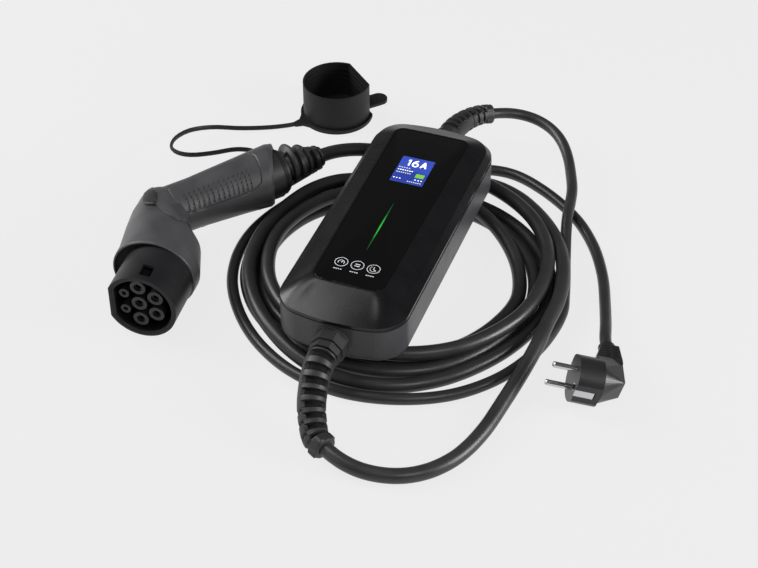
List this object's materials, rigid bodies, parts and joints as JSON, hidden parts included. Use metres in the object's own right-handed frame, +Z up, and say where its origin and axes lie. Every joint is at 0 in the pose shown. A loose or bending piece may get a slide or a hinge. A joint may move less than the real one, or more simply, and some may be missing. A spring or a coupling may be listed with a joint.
{
  "type": "portable ev charger",
  "caption": "Portable electric car charger: a control box with display and light bar on its coiled cables, a vehicle connector with dust cap and an earthed mains plug.",
  "frame": {"origin": "on the floor, under the middle of the box around the control box, vehicle connector and dust cap", "axes": "+Z up, +Y along the control box towards its mains end, +X towards the mains plug"},
  "size_m": [0.4584, 0.473, 0.0714],
  "materials": {
    "case_plastic": "fine matte texture",
    "cover_plastic": "satin black",
    "seal_rubber": "matte",
    "panel_gloss": "polished",
    "screen": "lit",
    "light": "lit",
    "circuit_board": "satin",
    "relay_plastic": "satin",
    "core_plastic": "matte",
    "clamp_plastic": "satin",
    "lead_plastic": "satin",
    "screw_steel": "zinc plated",
    "gland_plastic": "matte",
    "boot_rubber": "matte",
    "nose_plastic": "matte",
    "carrier_plastic": "matte",
    "contact_metal": "silver plated",
    "housing_plastic": "matte",
    "grip_plastic": "fine texture",
    "collar_plastic": "satin",
    "cap_rubber": "matte",
    "plug_rubber": "satin",
    "pin_metal": "polished",
    "cable_rubber": "satin"
  },
  "bodies": {
    "root": {"base_shell": "case_plastic", "top_cover": "cover_plastic", "cover_seal": "seal_rubber", "front_panel": "panel_gloss", "display_module": "screen", "light_guide": "light", "display_board": "circuit_board", "main_board": "circuit_board", "power_relays": "relay_plastic", "supply_module": "relay_plastic", "current_sensor": "core_plastic", "terminal_blocks": "clamp_plastic", "inner_leads": "lead_plastic", "board_screws": "screw_steel", "case_screws": "screw_steel", "vehicle_gland": "gland_plastic", "supply_gland": "gland_plastic", "gland_nuts": "gland_plastic", "vehicle_boot": "boot_rubber", "supply_boot": "boot_rubber", "connector_nose": "nose_plastic", "contact_carrier": "carrier_plastic", "contact_sleeves": "nose_plastic", "power_contacts": "contact_metal", "signal_contacts": "contact_metal", "front_housing": "housing_plastic", "grip_upper": "grip_plastic", "grip_lower": "grip_plastic", "grip_screws": "screw_steel", "grip_collar": "collar_plastic", "connector_boot": "boot_rubber", "dust_cap": "cap_rubber", "cap_tether": "cap_rubber", "plug_body": "plug_rubber", "plug_pins": "pin_metal", "earth_bracket": "pin_metal", "cable_coil": "cable_rubber", "vehicle_lead": "cable_rubber", "connector_lead": "cable_rubber", "supply_lead": "cable_rubber", "plug_lead": "cable_rubber"}
  },
  "joints": []
}
